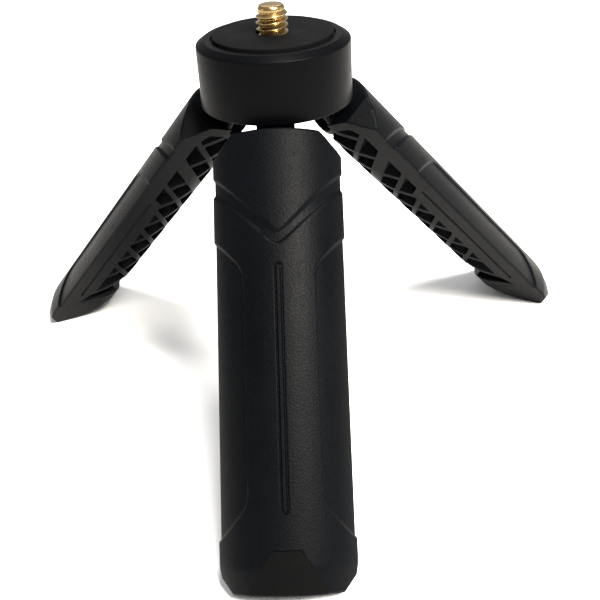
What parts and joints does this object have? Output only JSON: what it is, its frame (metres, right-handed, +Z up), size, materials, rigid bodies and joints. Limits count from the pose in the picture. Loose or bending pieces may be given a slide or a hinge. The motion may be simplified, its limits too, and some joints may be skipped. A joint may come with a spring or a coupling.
{
  "type": "mini tripod",
  "caption": "Small table tripod and hand grip: round head with a threaded camera stud and rubber seat, lattice-backed legs hinged inside the head that fold into a cylinder.",
  "frame": {"origin": "on the ground, straight below the middle of the head, with the legs open", "axes": "+Z up along the camera stud; -Y towards the front leg; +X to the right"},
  "size_m": [0.1338, 0.1191, 0.0877],
  "materials": {
    "head_black": "smooth satin black",
    "leg_black": "finely grained satin black",
    "pad_rubber": "matt black",
    "foot_rubber": "matt black",
    "stud_brass": "bright turned brass",
    "hub_plastic": "plain moulded black",
    "steel": "zinc plated"
  },
  "bodies": {
    "head": {"head_shell": "head_black", "top_pad": "pad_rubber", "camera_stud": "stud_brass", "stud_nut": "steel", "stud_lock_washer": "steel", "stud_washer": "steel", "hub": "hub_plastic", "hub_screws": "steel"},
    "front_leg": {"leg_front": "leg_black", "foot_pad_front": "foot_rubber", "hinge_pin_front": "steel", "hinge_washers_front": "steel"},
    "left_leg": {"leg_left": "leg_black", "foot_pad_left": "foot_rubber", "hinge_pin_left": "steel", "hinge_washers_left": "steel"},
    "right_leg": {"leg_right": "leg_black", "foot_pad_right": "foot_rubber", "hinge_pin_right": "steel", "hinge_washers_right": "steel"}
  },
  "joints": [
    {"name": "front_leg_fold", "type": "hinge", "parent": "head", "child": "front_leg", "pos_m": [0, -0.0105, 0.07209], "axis": [1, 0, 0], "range_deg": [0, 41.6]},
    {"name": "left_leg_fold", "type": "hinge", "parent": "head", "child": "left_leg", "pos_m": [-0.00909, 0.00525, 0.07209], "axis": [-0.5, -0.866, 0], "range_deg": [0, 41.6]},
    {"name": "right_leg_fold", "type": "hinge", "parent": "head", "child": "right_leg", "pos_m": [0.00909, 0.00525, 0.07209], "axis": [-0.5, 0.866, 0], "range_deg": [0, 41.6]}
  ]
}
